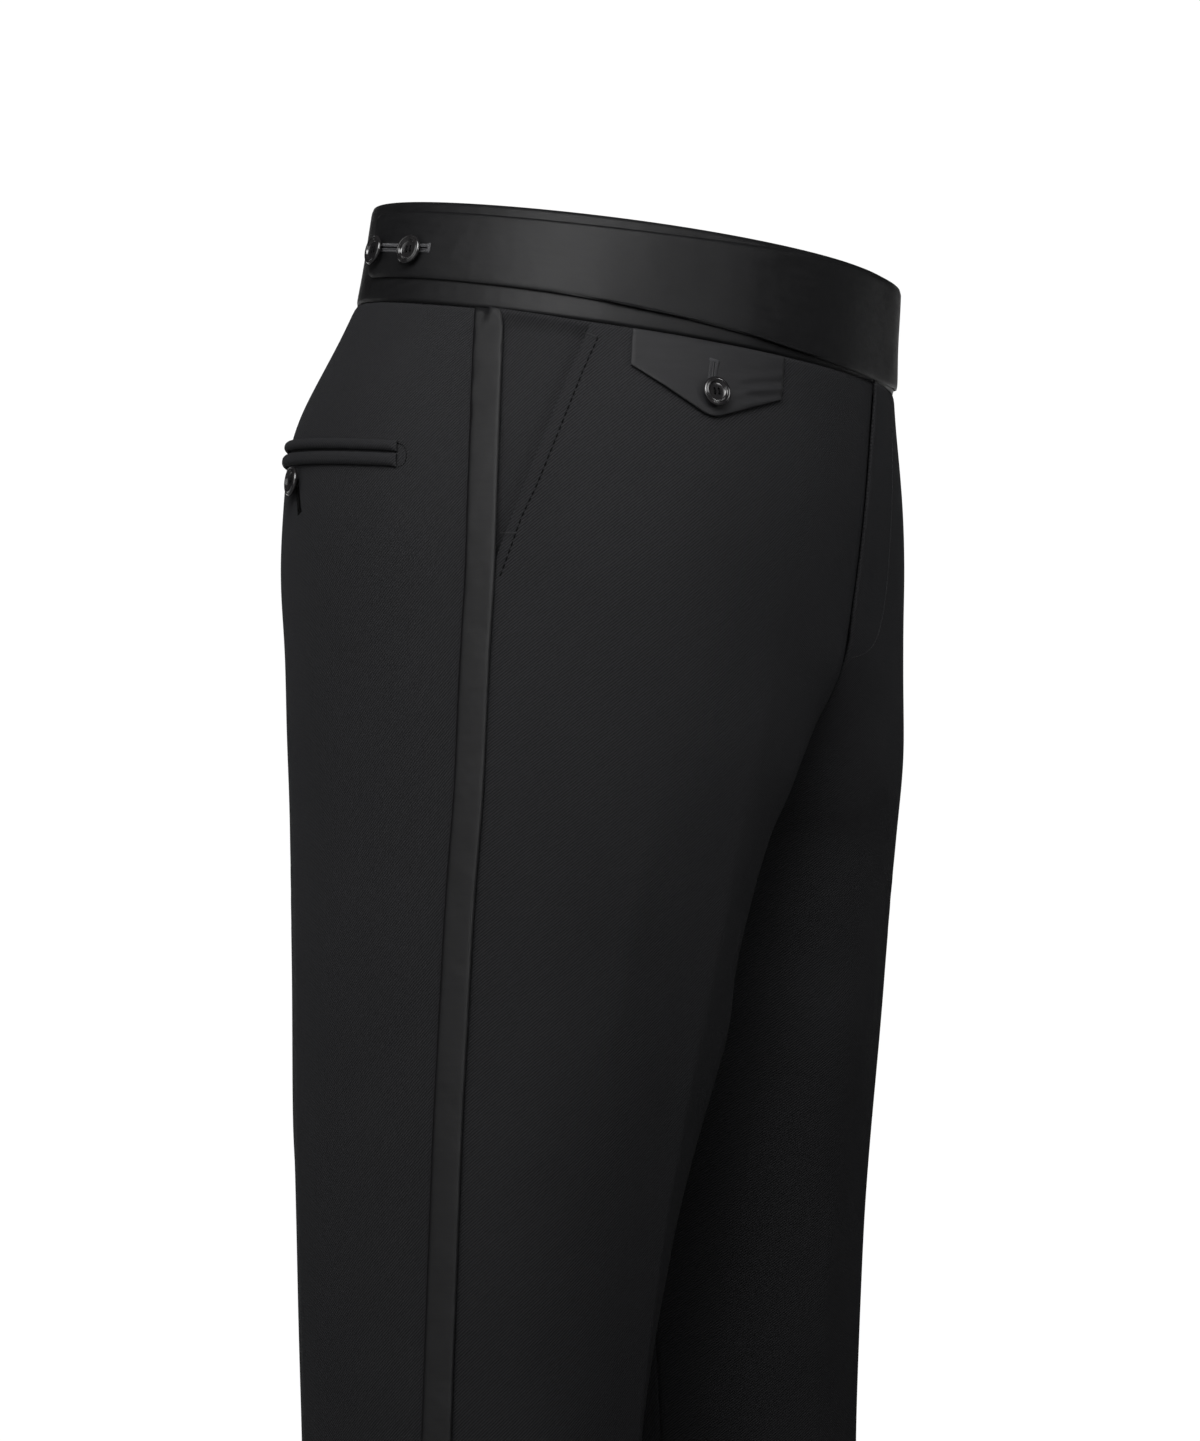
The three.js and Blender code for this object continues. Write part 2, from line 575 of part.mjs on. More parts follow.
const WRAP_BUTTON_RISE = WRAP_RISE + SATIN_WALL;
const HIP_BUTTON_RISE = -0.9;
addPair("wrap_button_front", buttonAt(-25.5, -44, WRAP_BUTTON_RISE), horn);
addPair("wrap_button_back", buttonAt(-25.5, -70, WRAP_BUTTON_RISE), horn);
const hipHalf = HIP_POCKET.length / 2;
const hipButtonZ = HIP_POCKET.z + HIP_POCKET.slope * hipHalf - 13.4;
addPair("hip_pocket_button", buttonAt(hipButtonZ, -(HIP_POCKET.start + hipHalf), HIP_BUTTON_RISE), horn);
add("coin_pocket_button", mirrored(buttonAt(seamRow - 27, FLAP.start + FLAP.width / 2, WRAP_BUTTON_RISE)), horn);

export default trousers;
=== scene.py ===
import math

import bmesh
import bpy
import numpy as np
from mathutils import Matrix, Vector, kdtree, noise
from mathutils.bvhtree import BVHTree


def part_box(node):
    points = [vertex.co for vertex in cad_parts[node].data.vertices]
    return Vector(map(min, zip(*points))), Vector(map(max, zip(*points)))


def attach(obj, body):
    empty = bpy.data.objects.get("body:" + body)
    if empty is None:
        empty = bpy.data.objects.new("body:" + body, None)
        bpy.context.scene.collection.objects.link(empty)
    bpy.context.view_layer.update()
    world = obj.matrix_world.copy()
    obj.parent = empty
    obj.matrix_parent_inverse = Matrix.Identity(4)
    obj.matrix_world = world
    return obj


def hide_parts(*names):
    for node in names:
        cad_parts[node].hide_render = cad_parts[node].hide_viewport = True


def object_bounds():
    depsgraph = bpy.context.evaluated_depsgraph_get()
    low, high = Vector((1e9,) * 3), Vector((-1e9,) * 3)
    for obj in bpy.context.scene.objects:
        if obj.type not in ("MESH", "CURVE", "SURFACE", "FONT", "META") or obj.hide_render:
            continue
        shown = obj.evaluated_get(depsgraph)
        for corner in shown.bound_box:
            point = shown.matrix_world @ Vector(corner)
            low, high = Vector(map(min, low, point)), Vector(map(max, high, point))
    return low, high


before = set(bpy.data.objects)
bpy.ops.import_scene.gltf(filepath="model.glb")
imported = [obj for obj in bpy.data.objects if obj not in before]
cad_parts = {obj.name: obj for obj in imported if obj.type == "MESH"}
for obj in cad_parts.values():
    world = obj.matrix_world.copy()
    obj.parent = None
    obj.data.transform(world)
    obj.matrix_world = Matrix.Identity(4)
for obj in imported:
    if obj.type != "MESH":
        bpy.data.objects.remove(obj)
cad_box = [list(corner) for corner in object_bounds()]

# The view: a long lens on the wearer's right, a little in front, level with the thighs and looking
# slightly up at the waistband. The picture's size and the focal length are in pixels.
PICTURE_WIDTH = 1200
PICTURE_HEIGHT = 1441
FOCAL_LENGTH = 4715
SENSOR_WIDTH = 36
VIEW_DISTANCE = 2.3
view_turn = math.radians(70)
view_rise = math.radians(-3.6)
aim = Vector((0, 0.025, -0.2265))
toward_camera = Vector(
    (
        -math.sin(view_turn) * math.cos(view_rise),
        -math.cos(view_turn) * math.cos(view_rise),
        math.sin(view_rise),
    )
)
lens = bpy.data.cameras.new("camera")
lens.sensor_fit = "HORIZONTAL"
lens.sensor_width = SENSOR_WIDTH
lens.lens = SENSOR_WIDTH * FOCAL_LENGTH / PICTURE_WIDTH
camera = bpy.data.objects.new("camera", lens)
bpy.context.scene.collection.objects.link(camera)
camera.location = aim + VIEW_DISTANCE * toward_camera
camera.rotation_euler = (-toward_camera).to_track_quat("-Z", "Y").to_euler()
bpy.context.scene.camera = camera


# The studio: a pale floor just under the hems that turns white far from them, and a white backdrop
# behind the trousers as the camera sees them, in a dim room. Two large soft lights stand on the
# wearer's right, a little behind. Three narrow ones reach the hip, the front and the waist.
bpy.context.scene.view_settings.view_transform = "Standard"
FLOOR_REACH = 30
FLOOR_DROP = 0.002
LIGHT_COLUMNS = ("azimuth", "elevation", "distance", "size", "power", "height", "spread")
LIGHTS = {
    "key": (-100, 15, 2.0, 1.8, 10.5, -0.3, 180),
    "back": (-125, 15, 2.0, 1.4, 4.4, -0.3, 180),
    "hip_light": (-80, 32, 1.4, 1.0, 4.6, -0.02, 60),
    "front": (-42, 32, 1.4, 0.8, 0.8, -0.02, 52),
    "waist_light": (-20, 6, 1.8, 0.35, 0.14, -0.03, 24),
}


def shader(name):
    material = bpy.data.materials.new(name)
    material.use_nodes = True
    return material, material.node_tree.nodes, material.node_tree.links


floor_mesh = bmesh.new()
bmesh.ops.create_grid(floor_mesh, x_segments=1, y_segments=1, size=FLOOR_REACH)
under_hems = (0, 0, cad_box[0][2] - FLOOR_DROP)
bmesh.ops.translate(floor_mesh, verts=floor_mesh.verts, vec=under_hems)
floor_data = bpy.data.meshes.new("floor")
floor_mesh.to_mesh(floor_data)
floor_mesh.free()
floor = bpy.data.objects.new("floor", floor_data)
bpy.context.scene.collection.objects.link(floor)
paper, paper_nodes, paper_links = shader("paper_floor")
paper_face = paper_nodes["Principled BSDF"]
paper_face.inputs["Base Color"].default_value = (0.75, 0.75, 0.75, 1)
paper_face.inputs["Roughness"].default_value = 1
paper_face.inputs["Emission Color"].default_value = (1, 1, 1, 1)
behind = paper_nodes.new("ShaderNodeVectorMath")
behind.operation = "DOT_PRODUCT"
behind.inputs[1].default_value = -toward_camera
paper_links.new(paper_nodes.new("ShaderNodeTexCoord").outputs["Object"], behind.inputs[0])
glow = paper_nodes.new("ShaderNodeMapRange")
for socket, amount in {"From Min": 2.4, "From Max": 4.6, "To Min": 0.02, "To Max": 1.0}.items():
    glow.inputs[socket].default_value = amount
paper_links.new(behind.outputs["Value"], glow.inputs["Value"])
paper_links.new(glow.outputs["Result"], paper_face.inputs["Emission Strength"])
floor_data.materials.append(paper)

world = bpy.data.worlds.new("studio")
world.use_nodes = True
sky_nodes, sky_links = world.node_tree.nodes, world.node_tree.links
sky_nodes["Background"].inputs["Color"].default_value = (1, 1, 1, 1)
toward_backdrop = sky_nodes.new("ShaderNodeVectorMath")
toward_backdrop.operation = "DOT_PRODUCT"
toward_backdrop.inputs[1].default_value = -toward_camera
sky_links.new(sky_nodes.new("ShaderNodeTexCoord").outputs["Generated"], toward_backdrop.inputs[0])
backdrop = sky_nodes.new("ShaderNodeMapRange")
backdrop.interpolation_type = "SMOOTHSTEP"
for socket, amount in {"From Min": 0.93, "From Max": 0.975, "To Min": 0.02, "To Max": 1.02}.items():
    backdrop.inputs[socket].default_value = amount
sky_links.new(toward_backdrop.outputs["Value"], backdrop.inputs["Value"])
sky_links.new(backdrop.outputs["Result"], sky_nodes["Background"].inputs["Strength"])
bpy.context.scene.world = world


def soft_light(name, azimuth, elevation, distance, size, power, height, spread):
    data = bpy.data.lights.new(name, "AREA")
    data.size = size
    data.energy = power
    data.spread = math.radians(spread)
    lamp = bpy.data.objects.new(name, data)
    bpy.context.scene.collection.objects.link(lamp)
    a, e = math.radians(azimuth), math.radians(elevation)
    toward = Vector((math.sin(a) * math.cos(e), -math.cos(a) * math.cos(e), math.sin(e)))
    lamp.location = Vector((0, 0, height)) + distance * toward
    lamp.rotation_euler = (-toward).to_track_quat("-Z", "Y").to_euler()


for lamp_name, row in LIGHTS.items():
    soft_light(lamp_name, **dict(zip(LIGHT_COLUMNS, row)))


# The legs: fine black wool in a diagonal twill, four panels joined at the sides, the inseams and
# the seat. Each leg is pressed to a crease in front and behind. Each panel starts from the outer
# skin of its solid, is rounded off by subdivision and gets its thickness inwards.
def value(nodes, links, operation, first, second):
    node = nodes.new("ShaderNodeMath")
    node.operation = operation
    for socket, source in zip(node.inputs, (first, second)):
        if isinstance(source, (int, float)):
            socket.default_value = source
        else:
            links.new(source, socket)
    return node.outputs[0]


def bands(nodes, links, source, turn, period, wobble):
    """Even parallel bands across the cloth's own map, which is in metres."""
    mapping = nodes.new("ShaderNodeMapping")
    mapping.inputs["Rotation"].default_value[2] = math.radians(turn)
    links.new(source, mapping.inputs["Vector"])
    wave = nodes.new("ShaderNodeTexWave")
    wave.bands_direction = "X"
    wave.inputs["Scale"].default_value = math.pi / 10 / period
    wave.inputs["Distortion"].default_value = wobble
    wave.inputs["Detail"].default_value = 2
    wave.inputs["Detail Scale"].default_value = 0.35
    links.new(mapping.outputs["Vector"], wave.inputs["Vector"])
    return wave.outputs["Fac"]


def soft_noise(nodes, links, source, scale, detail, stretch=(1, 1, 1)):
    mapping = nodes.new("ShaderNodeMapping")
    mapping.inputs["Scale"].default_value = stretch
    links.new(source, mapping.inputs["Vector"])
    texture = nodes.new("ShaderNodeTexNoise")
    texture.inputs["Scale"].default_value = scale
    texture.inputs["Detail"].default_value = detail
    links.new(mapping.outputs["Vector"], texture.inputs["Vector"])
    return texture.outputs["Fac"]


def tone(nodes, links, amount, dark, light):
    ramp = nodes.new("ShaderNodeValToRGB")
    ramp.color_ramp.elements[0].color = (*dark, 1)
    ramp.color_ramp.elements[1].color = (*light, 1)
    links.new(amount, ramp.inputs["Fac"])
    return ramp.outputs["Color"]


def bump(nodes, links, height, distance, strength=1.0):
    node = nodes.new("ShaderNodeBump")
    node.inputs["Strength"].default_value = strength
    node.inputs["Distance"].default_value = distance
    links.new(height, node.inputs["Height"])
    return node.outputs["Normal"]


def twill_cloth(name, dark, light):
    material, nodes, links = shader(name)
    face = nodes["Principled BSDF"]
    cloth_map = nodes.new("ShaderNodeUVMap")
    cloth_map.uv_map = "cloth"
    place = nodes.new("ShaderNodeTexCoord").outputs["Object"]
    ribs = bands(nodes, links, cloth_map.outputs["UV"], turn=45, period=0.0011, wobble=0.7)
    threads = bands(nodes, links, cloth_map.outputs["UV"], turn=0, period=0.00055, wobble=0.4)
    fuzz = soft_noise(nodes, links, place, scale=900, detail=3)
    patches = soft_noise(nodes, links, place, scale=14, detail=2)
    weave = value(nodes, links, "ADD", ribs, value(nodes, links, "MULTIPLY", threads, 0.35))
    shade = value(nodes, links, "MULTIPLY", weave, 0.45)
    shade = value(nodes, links, "ADD", shade, value(nodes, links, "MULTIPLY", fuzz, 0.45))
    shade = value(nodes, links, "ADD", shade, value(nodes, links, "MULTIPLY", patches, 0.2))
    links.new(tone(nodes, links, shade, dark, light), face.inputs["Base Color"])
    height = value(nodes, links, "ADD", weave, value(nodes, links, "MULTIPLY", fuzz, 0.5))
    links.new(bump(nodes, links, height, distance=0.00016), face.inputs["Normal"])
    face.inputs["Roughness"].default_value = 0.85
    face.inputs["Specular IOR Level"].default_value = 0.06
    face.inputs["Sheen Weight"].default_value = 0.02
    face.inputs["Sheen Roughness"].default_value = 0.45
    face.inputs["Sheen Tint"].default_value = (0.75, 0.78, 0.85, 1)
    return material


wool = twill_cloth("black_wool_twill", (0.0008, 0.0008, 0.0009), (0.022, 0.022, 0.0234))

RIM_ANGLE = math.radians(55)
LEG_MIDDLE = Vector((0.09, 0.03, 0))
FORK_LOW = -0.36
FORK_HIGH = -0.21
FORK_REACH = 0.078
CREASE_FROM_MIDDLE = 0.11
CREASE_REACH = 0.035
CREASE_BEND = 11
CREASE_TOP = -0.21
CREASE_FULL = -0.42


def outer_skin(node, middle):
    """A copy of a node's outer face, without its inner face and its rims, as quads."""
    skin = bmesh.new()
    skin.from_mesh(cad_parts[node].data)
    bmesh.ops.remove_doubles(skin, verts=skin.verts, dist=2e-5)
    skin.faces.ensure_lookup_table()
    region_of = {}
    regions = []
    for first in skin.faces:
        if first.index in region_of:
            continue
        region_of[first.index] = len(regions)
        region, waiting = [], [first]
        while waiting:
            face = waiting.pop()
            region.append(face)
            for edge in face.edges:
                if edge.calc_face_angle(math.pi) > RIM_ANGLE:
                    continue
                for near in edge.link_faces:
                    if near.index not in region_of:
                        region_of[near.index] = len(regions)
                        waiting.append(near)
        regions.append(region)

    def facing_out(region):
        total = 0
        for face in region:
            away = face.calc_center_median() - middle
            away.z = 0
            total += math.copysign(face.calc_area(), face.normal.dot(away))
        return total

    outside = max(regions, key=facing_out)
    kept = set(face.index for face in outside)
    inner = [face for face in skin.faces if face.index not in kept]
    bmesh.ops.delete(skin, geom=inner, context="FACES")
    bmesh.ops.join_triangles(
        skin,
        faces=skin.faces,
        angle_face_threshold=math.radians(60),
        angle_shape_threshold=math.radians(150),
    )
    return skin


def lay_cloth_map(piece):
    """Unrolls the piece flat, in metres, with the cloth's lengthwise thread upright."""
    bpy.context.view_layer.objects.active = piece
    piece.select_set(True)
    bpy.ops.object.mode_set(mode="EDIT")
    bpy.ops.mesh.select_all(action="SELECT")
    bpy.ops.uv.unwrap(method="ANGLE_BASED", margin=0)
    bpy.ops.object.mode_set(mode="OBJECT")
    piece.select_set(False)
    mesh = piece.data
    layer = mesh.uv_layers.active
    layer.name = "cloth"
    flat = np.array([loop.uv[:] for loop in layer.data])
    heights = np.array([mesh.vertices[loop.vertex_index].co.z for loop in mesh.loops])
    flat -= flat.mean(axis=0)
    slope = np.linalg.lstsq(flat, heights - heights.mean(), rcond=None)[0]
    up = slope / np.linalg.norm(slope)
    turned = np.stack([flat @ np.array([up[1], -up[0]]), flat @ up], axis=1)
    area = 0
    for polygon in mesh.polygons:
        corners = turned[polygon.loop_start : polygon.loop_start + polygon.loop_total]
        nexts = np.roll(corners, -1, axis=0)
        area += abs(np.sum(corners[:, 0] * nexts[:, 1] - corners[:, 1] * nexts[:, 0])) / 2
    real = sum(polygon.area for polygon in mesh.polygons)
    turned *= math.sqrt(real / area)
    for loop, place in zip(layer.data, turned):
        loop.uv = place


def subdivided(piece, levels):
    """Rounds a piece off with subdivision and makes the result its own mesh."""
    rounding = piece.modifiers.new("rounding", "SUBSURF")
    rounding.levels = rounding.render_levels = levels
    rounding.boundary_smooth = "PRESERVE_CORNERS"
    evaluated = piece.evaluated_get(bpy.context.evaluated_depsgraph_get())
    mesh = bpy.data.meshes.new_from_object(evaluated)
    piece.modifiers.clear()
    coarse = piece.data
    piece.data = mesh
    bpy.data.meshes.remove(coarse)


def new_piece(name, shape, material):
    mesh = bpy.data.meshes.new(name)
    shape.to_mesh(mesh)
    shape.free()
    mesh.materials.append(material)
    mesh.polygons.foreach_set("use_smooth", [True] * len(mesh.polygons))
    piece = bpy.data.objects.new(name, mesh)
    bpy.context.scene.collection.objects.link(piece)
    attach(piece, "root")
    return piece


def rim_tree(mesh):
    """The points along a piece's cut edge, for finding how near the edge is."""
    shape = bmesh.new()
    shape.from_mesh(mesh)
    rim = [v.co.copy() for v in shape.verts if v.is_boundary]
    shape.free()
    tree = kdtree.KDTree(len(rim))
    for i, co in enumerate(rim):
        tree.insert(co, i)
    tree.balance()
    return tree


def shape_cloth(piece, offset, roll=0.0006, roll_width=0.004):
    """Moves each point along its normal: the given folds, and a soft turn-in at the edges."""
    mesh = piece.data
    normals = [v.normal.copy() for v in mesh.vertices]
    rim = rim_tree(mesh)
    for v, normal in zip(mesh.vertices, normals):
        turn_in = max(0, 1 - rim.find(v.co)[2] / roll_width) ** 2 * roll
        v.co += normal * (offset(v.co) - turn_in)


def thicken(piece, thickness):
    wall = piece.modifiers.new("thickness", "SOLIDIFY")
    wall.thickness = thickness
    wall.offset = -1


def smooth_step(low, high, x):
    t = min(1, max(0, (x - low) / (high - low)))
    return t * t * (3 - 2 * t)


def easy_folds(co):
    """The slight unevenness of cloth that hangs: long upright swells, and softer broad ones."""
    swell = noise.noise(Vector((co.x * 14, co.y * 14, co.z * 3.2)))
    broad = noise.noise(Vector((co.x * 5 + 7, co.y * 5, co.z * 2)))
    calm = 0.35 + 0.65 * smooth_step(-0.08, -0.3, co.z)
    return (0.0007 * swell + 0.0009 * broad) * calm


def in_fork(v):
    """Whether a point lies in the fork of the legs, where the solid's faces are coarse."""
    return not v.is_boundary and FORK_LOW < v.co.z < FORK_HIGH and abs(v.co.x) < FORK_REACH


def on_crease(edge):
    """Whether an edge runs down the pressed crease, in front or behind."""
    along = (edge.verts[1].co - edge.verts[0].co).normalized()
    middle = (edge.verts[1].co + edge.verts[0].co) / 2
    bend = math.degrees(edge.calc_face_angle_signed(0))
    beside = abs(abs(middle.x) - CREASE_FROM_MIDDLE) < CREASE_REACH
    return abs(along.z) > 0.9 and bend > CREASE_BEND and beside and middle.z < CREASE_TOP


WOOL_WALL = 0.0012
PANELS = {
    "front_left": {"flat": (0.30, 1.03), "area": 0.2275},
    "front_right": {"flat": (0.30, 1.03), "area": 0.2275},
    "back_left": {"flat": (0.33, 1.05), "area": 0.255},
    "back_right": {"flat": (0.33, 1.05), "area": 0.255},
}
panels = {}
for node, cut in PANELS.items():
    side = -1 if node.endswith("right") else 1
    skin = outer_skin(node, Vector((side * LEG_MIDDLE.x, LEG_MIDDLE.y, 0)))
    fork = [v for v in skin.verts if in_fork(v)]
    for _ in range(4):
        bmesh.ops.smooth_vert(
            skin, verts=fork, factor=0.5, use_axis_x=True, use_axis_y=True, use_axis_z=True
        )
    creases = skin.edges.layers.float.new("crease_edge")
    for edge in skin.edges:
        if on_crease(edge):
            height = ((edge.verts[1].co + edge.verts[0].co) / 2).z
            edge[creases] = 0.9 * smooth_step(CREASE_TOP, CREASE_FULL, height)
    piece = new_piece("cloth_" + node, skin, wool)
    lay_cloth_map(piece)
    subdivided(piece, 3)
    shape_cloth(piece, easy_folds)
    panels[node] = piece
    thicken(piece, WOOL_WALL)
    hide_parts(node)


# The wool pieces behind the slanted side pockets, the shield behind the fly and the front seam, and
# the padded welts of the hip pockets. The first and last start from their solids' outer skins, and
# the welts are kept just clear of the cloth below.
WAIST_MIDDLE = Vector((0, 0.01, 0))
CLOTH_GAP = 0.0002
SHIELD_TOP = -0.071
SHIELD_ROWS = 42
SHIELD_PITCH = 0.0047
SHIELD_HALF = 0.022
SHIELD_TAPER = 0.015
SHIELD_DEPTH = 0.0048
WELT_AREAS = {"upper": 0.0009, "lower": 0.00105}


def ground(*pieces):
    """The outer faces of the pieces that others lie on, for finding places on them."""
    points, faces = [], []
    for piece in pieces:
        start = len(points)
        points += [v.co.copy() for v in piece.data.vertices]
        faces += [[start + i for i in polygon.vertices] for polygon in piece.data.polygons]
    return BVHTree.FromPolygons(points, faces)


def lift_clear(piece, below, clearance):
    """Moves the piece's face away from the cloth below it wherever the two are too close."""
    raised = []
    for v in piece.data.vertices:
        place, normal, _, _ = below.find_nearest(v.co)
        height = (v.co - place).dot(normal)
        if height < clearance and v.normal.dot(normal) > 0.6:
            raised.append((v, normal * (clearance - height)))
    for v, step in raised:
        v.co += step


def overlay(
    node, name, material, levels, wall, roll, roll_width, below=None, folds=easy_folds
):
    """A visible piece made from a node's outer face, folded, kept clear and given its wall."""
    piece = new_piece(name, outer_skin(node, WAIST_MIDDLE), material)
    lay_cloth_map(piece)
    subdivided(piece, levels)
    shape_cloth(piece, folds, roll, roll_width)
    if below:
        lift_clear(piece, below, wall + CLOTH_GAP)
    thicken(piece, wall)
    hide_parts(node)
    return piece


legs_ground = ground(*panels.values())


def set_back(co):
    """Lets the hip piece sink in behind the pocket's edge, but keeps it up at the waist seam."""
    below_seam = -0.0501 + 0.15 * co.y - co.z
    sunk = 0.0009 + 0.0024 * math.exp(-pocket_edges.find(co)[2] / 0.005)
    return easy_folds(co) - sunk + (sunk + 0.0025) * smooth_step(0.008, 0.0, below_seam)


for side in ("left", "right"):
    node = "hip_piece_" + side
    pocket_edges = rim_tree(panels["front_" + side].data)
    piece = overlay(
        node,
        "cloth_" + node,
        wool,
        levels=3,
        wall=WOOL_WALL,
        roll=0.0,
        roll_width=0.004,
        folds=set_back,
    )
    panels[node] = piece

shield = bmesh.new()
rows = []
for step in range(SHIELD_ROWS):
    height = SHIELD_TOP - SHIELD_PITCH * step
    half = SHIELD_HALF - SHIELD_TAPER * smooth_step(-0.195, -0.235, height)
    front = []
    places = (-half - 0.002, -half / 3, half / 3, half + 0.002)
    for across in places:
        ahead = Vector((across, -0.4, height))
        front.append(legs_ground.ray_cast(ahead, Vector((0, 1, 0)))[0].y)
    spots = np.linspace(-half, half, 9)
    depths = np.interp(spots, places, front)
    rows.append([shield.verts.new((x, y + SHIELD_DEPTH, height)) for x, y in zip(spots, depths)])
for upper, lower in zip(rows, rows[1:]):
    for i in range(8):
        shield.faces.new((upper[i], lower[i], lower[i + 1], upper[i + 1]))
fly_shield = new_piece("cloth_fly_shield", shield, wool)
lay_cloth_map(fly_shield)
subdivided(fly_shield, 1)
thicken(fly_shield, WOOL_WALL)

for side in ("left", "right"):
    for place, cloth in WELT_AREAS.items():
        node = f"hip_pocket_welt_{place}_{side}"
        piece = overlay(
            node,
            "cloth_" + node,
            wool,
            levels=3,
            wall=WOOL_WALL,
            roll=0.0009,
            roll_width=0.0028,
            below=legs_ground,
        )


# The satin facings: the side stripes, the waistband, the wrap that buttons over it at the back and
# the flap of the small front pocket. Black, close-woven and smooth, with a soft shine that runs
# with the cloth. The flap is the same satin with a lighter base colour and less shine: the
# lighter colour is painted sheen, standing in for a broad highlight that the lamps don't put there.
def satin_cloth(name, dark, light, shine):
    material, nodes, links = shader(name)
    face = nodes["Principled BSDF"]
    cloth_map = nodes.new("ShaderNodeUVMap")
    cloth_map.uv_map = "cloth"
    place = nodes.new("ShaderNodeTexCoord").outputs["Object"]
    threads = bands(nodes, links, cloth_map.outputs["UV"], turn=90, period=0.00042, wobble=0.8)
    slubs = soft_noise(nodes, links, cloth_map.outputs["UV"], 420, 2, stretch=(0.12, 1, 1))
    patches = soft_noise(nodes, links, place, scale=22, detail=2)
    shade = value(nodes, links, "MULTIPLY", threads, 0.3)
    shade = value(nodes, links, "ADD", shade, value(nodes, links, "MULTIPLY", slubs, 0.4))
    shade = value(nodes, links, "ADD", shade, value(nodes, links, "MULTIPLY", patches, 0.3))
    links.new(tone(nodes, links, shade, dark, light), face.inputs["Base Color"])
    ripple = soft_noise(nodes, links, place, scale=55, detail=2)
    fine = bump(nodes, links, value(nodes, links, "ADD", threads, slubs), distance=0.00004)
    broad = bump(nodes, links, ripple, distance=0.0012, strength=0.6)
    links.new(fine, broad.node.inputs["Normal"])
    links.new(broad, face.inputs["Normal"])
    rough = value(nodes, links, "MULTIPLY", slubs, 0.14)
    links.new(value(nodes, links, "ADD", rough, 0.38), face.inputs["Roughness"])
    face.inputs["Specular IOR Level"].default_value = shine
    return material


satin = satin_cloth("black_satin", (0.0022, 0.0022, 0.0024), (0.009, 0.009, 0.0097), shine=0.19)
# The flap's satin: a lighter copy of the black satin, and its extra lightness is painted sheen.
flap_satin_painted_sheen = satin_cloth(
    "black_satin_painted_sheen", (0.009, 0.009, 0.0094), (0.026, 0.026, 0.0275), shine=0.11
)
SATIN_WALL = 0.0012
STRIPE_WALL = 0.0007
FLAP_WALL = 0.0011

waistbands = {}
for side in ("left", "right"):
    node = "waistband_" + side
    piece = overlay(
        node,
        "satin_" + node,
        satin,
        levels=3,
        wall=SATIN_WALL,
        roll=0.0006,
        roll_width=0.003,
    )
    waistbands[side] = piece

cloth_ground = ground(*panels.values())
for side in ("left", "right"):
    piece = overlay(
        "side_stripe_" + side,
        "satin_stripe_" + side,
        satin,
        levels=2,
        wall=STRIPE_WALL,
        roll=0.0004,
        roll_width=0.0018,
        below=cloth_ground,
    )


def flap_folds(co):
    """Soft puckers that run from the flap's button toward the front, and a slight wave."""
    away = co - flap_button_place
    across = away.z + 0.25 * away.y
    toward_front = -away.y
    near = smooth_step(0.004, 0.011, toward_front) * smooth_step(0.034, 0.014, toward_front)
    ridges = math.cos(across / 0.0068 * 2 * math.pi) * math.exp(-((across / 0.007) ** 2))
    pucker = 0.0006 * ridges * near
    wave = 0.0005 * noise.noise(Vector((co.x * 45, co.y * 45, co.z * 60)))
    return easy_folds(co) + pucker + wave


def middle_of(node):
    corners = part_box(node)
    return (Vector(corners[0]) + Vector(corners[1])) / 2


flap_button_place = middle_of("coin_pocket_button")
flap = overlay(
    "coin_pocket_flap",
    "satin_flap",
    flap_satin_painted_sheen,
    levels=4,
    wall=FLAP_WALL,
    roll=0.0006,
    roll_width=0.0022,
    below=cloth_ground,
    folds=flap_folds,
)

band_ground = ground(*waistbands.values())


def wrap_folds(co):
    """Long shallow waves along the wrap."""
    wave = noise.noise(Vector((co.x * 16, co.y * 16, co.z * 30)))
    return easy_folds(co) + 0.0007 * wave


wrap = overlay(
    "waist_wrap",
    "satin_wrap",
    satin,
    levels=3,
    wall=SATIN_WALL,
    roll=0.0006,
    roll_width=0.0026,
    below=band_ground,
    folds=wrap_folds,
)


# The buttons: polished black horn, 14 mm across, with a double raised rim, a dished middle and four
# holes. Each is sewn on with thread through the holes and held off the cloth by a wound shank.
def glossy_horn():
    material, nodes, links = shader("black_horn")
    face = nodes["Principled BSDF"]
    place = nodes.new("ShaderNodeTexCoord").outputs["Object"]
    streaks = soft_noise(nodes, links, place, 260, 3, stretch=(1, 1, 0.3))
    colour = tone(nodes, links, streaks, (0.004, 0.004, 0.005), (0.016, 0.015, 0.015))
    links.new(colour, face.inputs["Base Color"])
    rough = value(nodes, links, "ADD", value(nodes, links, "MULTIPLY", streaks, 0.12), 0.1)
    links.new(rough, face.inputs["Roughness"])
    links.new(bump(nodes, links, streaks, distance=0.00003), face.inputs["Normal"])
    face.inputs["Coat Weight"].default_value = 0.5
    face.inputs["Coat Roughness"].default_value = 0.06
    return material


def silk_thread(name, dark, light, roughness, shine):
    material, nodes, links = shader(name)
    face = nodes["Principled BSDF"]
    place = nodes.new("ShaderNodeTexCoord").outputs["Object"]
    strands = soft_noise(nodes, links, place, scale=4200, detail=2)
    links.new(tone(nodes, links, strands, dark, light), face.inputs["Base Color"])
    links.new(bump(nodes, links, strands, distance=0.00006), face.inputs["Normal"])
    face.inputs["Roughness"].default_value = roughness
    face.inputs["Specular IOR Level"].default_value = shine
    return material


def ring(shape, radius, height, count=48, middle=(0, 0)):
    corners = []
    for i in range(count):
        turn = 2 * math.pi * i / count
        across = middle[0] + radius * math.cos(turn)
        along = middle[1] + radius * math.sin(turn)
        corners.append(shape.verts.new((across, along, height)))
    return corners


def bridge(shape, first, second):
    for i in range(len(first)):
        j = (i + 1) % len(first)
        shape.faces.new((first[i], first[j], second[j], second[i]))


def fill(shape, rings):
    edges = [shape.edges.get((a, b)) for loop in rings for a, b in zip(loop, loop[1:] + loop[:1])]
    bmesh.ops.triangle_fill(shape, edges=edges, use_beauty=True)


